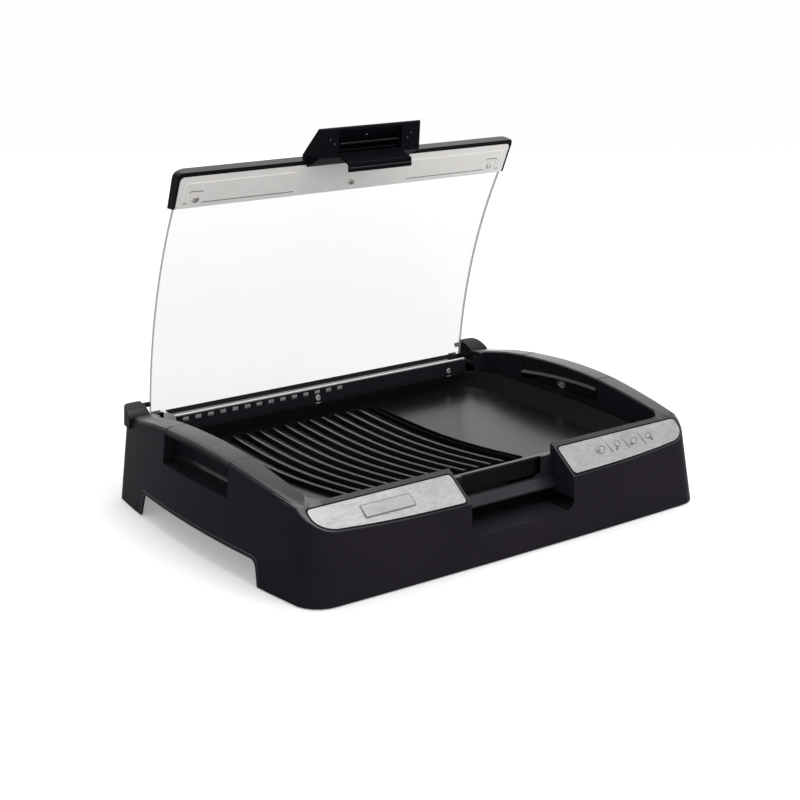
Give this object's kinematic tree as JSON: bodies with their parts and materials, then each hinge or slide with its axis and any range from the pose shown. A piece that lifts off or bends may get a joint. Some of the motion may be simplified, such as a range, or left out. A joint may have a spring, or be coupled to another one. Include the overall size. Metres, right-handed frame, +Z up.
{
  "type": "electric table grill",
  "caption": "Flat electric table grill with a part-ribbed pan in a black housing and a curved glass lid hinged at the rear, held open.",
  "frame": {"origin": "on the ground below the middle of the whole grill", "axes": "+X to the right seen from the front, +Y towards the hinged rear, +Z up"},
  "size_m": [0.5328, 0.398, 0.4049],
  "materials": {
    "housing_plastic": "satin moulded, black",
    "grip_plastic": "satin moulded, black",
    "horn_plastic": "satin moulded, black",
    "brushed_plate": "brushed",
    "stop_rubber": "matte",
    "cover_plastic": "matte moulded",
    "foot_rubber": "matte",
    "tray_steel": "aluminised sheet",
    "element_steel": "heat-tinted tube",
    "clip_steel": "plain sheet",
    "pan_coating": "cast, black non-stick coated",
    "socket_plastic": "matte moulded",
    "pin_nickel": "nickel plated",
    "bracket_steel": "zinc plated sheet",
    "pin_steel": "ground",
    "screw_steel": "zinc plated",
    "arm_steel": "black",
    "tempered_glass": "clear, greenish edge",
    "frame_plastic": "satin moulded, black",
    "strip_steel": "satin",
    "handle_plastic": "satin moulded, black",
    "screw_black": "blackened"
  },
  "bodies": {
    "base": {"base_housing": "housing_plastic", "side_grip_left": "grip_plastic", "side_grip_right": "grip_plastic", "horn_cap_left": "horn_plastic", "horn_cap_right": "horn_plastic", "trim_plate_left": "brushed_plate", "trim_plate_right": "brushed_plate", "lid_stop_left": "stop_rubber", "lid_stop_right": "stop_rubber", "bottom_cover": "cover_plastic", "foot_front_left": "foot_rubber", "foot_front_right": "foot_rubber", "foot_rear_left": "foot_rubber", "foot_rear_right": "foot_rubber", "reflector_tray": "tray_steel", "heating_element": "element_steel", "element_clip_left": "clip_steel", "element_clip_right": "clip_steel", "grill_pan": "pan_coating", "power_socket": "socket_plastic", "socket_pin_line": "pin_nickel", "socket_pin_earth": "pin_nickel", "socket_pin_neutral": "pin_nickel", "hinge_bracket_left": "bracket_steel", "hinge_bracket_right": "bracket_steel", "hinge_pin_left": "pin_steel", "hinge_pin_right": "pin_steel", "wall_screw_left": "screw_steel", "wall_screw_right": "screw_steel"},
    "lid": {"hinge_arm_left": "arm_steel", "hinge_arm_right": "arm_steel", "lid_glass": "tempered_glass", "lid_frame": "frame_plastic", "lid_strip": "strip_steel", "handle_shell": "handle_plastic", "handle_latch": "handle_plastic", "handle_tray": "handle_plastic", "handle_screw_left": "screw_black", "handle_screw_right": "screw_black", "strip_screw_left": "screw_steel", "strip_screw_centre": "screw_steel", "strip_screw_right": "screw_steel"}
  },
  "joints": [
    {"name": "lid_hinge", "type": "hinge", "parent": "base", "child": "lid", "pos_m": [0, 0.1602, 0.0651], "axis": [1, 0, 0], "range_deg": [0, 70]}
  ]
}
